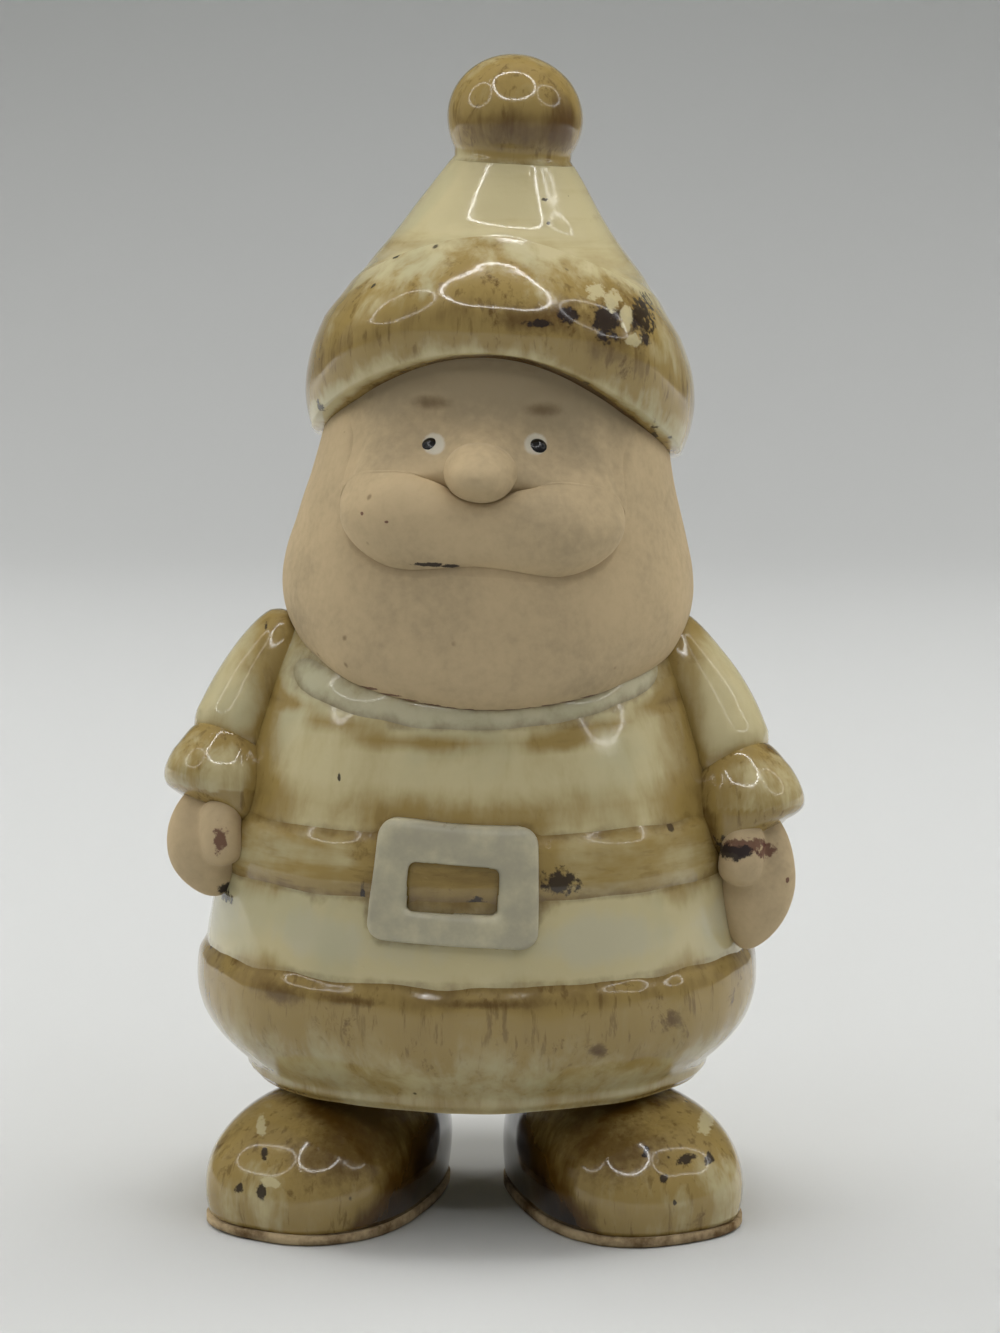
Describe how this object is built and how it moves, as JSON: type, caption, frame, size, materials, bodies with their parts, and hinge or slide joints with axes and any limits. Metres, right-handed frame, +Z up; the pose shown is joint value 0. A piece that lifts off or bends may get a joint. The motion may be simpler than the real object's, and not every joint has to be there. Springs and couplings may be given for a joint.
{
  "type": "ceramic santa figurine",
  "caption": "Small stoneware santa figurine with a bobble hat, full beard, belted fur-trimmed coat, mitten hands and round boots, standing free as a shelf or table ornament.",
  "frame": {"origin": "on the surface the figure stands on, under the middle of its bounding box", "axes": "+Z up through the hat; the figure faces -Y; its own left hand is on +X"},
  "size_m": [0.0504, 0.0416, 0.0901],
  "materials": {
    "cream_glaze": "glossy cream glaze with ochre staining in the creases",
    "ochre_glaze": "glossy ochre-brown glaze, brushed and unevenly pooled",
    "pale_glaze": "glossy pale ivory glaze",
    "bisque": "matte unglazed tan bisque with fine brown specks",
    "buckle_paint": "satin pale grey-white underglaze",
    "black_enamel": "glossy black enamel dots",
    "bare_clay": "matte bare fired clay where the figure stood in the kiln"
  },
  "bodies": {
    "root": {"beard": "bisque", "belt": "ochre_glaze", "belt_buckle": "buckle_paint", "coat_body": "cream_glaze", "coat_hem": "ochre_glaze", "collar": "pale_glaze", "hat_brim": "ochre_glaze", "hat_crown": "cream_glaze", "hat_pompom": "ochre_glaze", "head": "bisque", "left_boot": "ochre_glaze", "left_cuff": "ochre_glaze", "left_eye": "black_enamel", "left_hand": "bisque", "left_leg": "cream_glaze", "left_sleeve": "cream_glaze", "left_sole": "bare_clay", "moustache": "bisque", "nose": "bisque", "right_boot": "ochre_glaze", "right_cuff": "ochre_glaze", "right_eye": "black_enamel", "right_hand": "bisque", "right_leg": "cream_glaze", "right_sleeve": "cream_glaze", "right_sole": "bare_clay"}
  },
  "joints": []
}
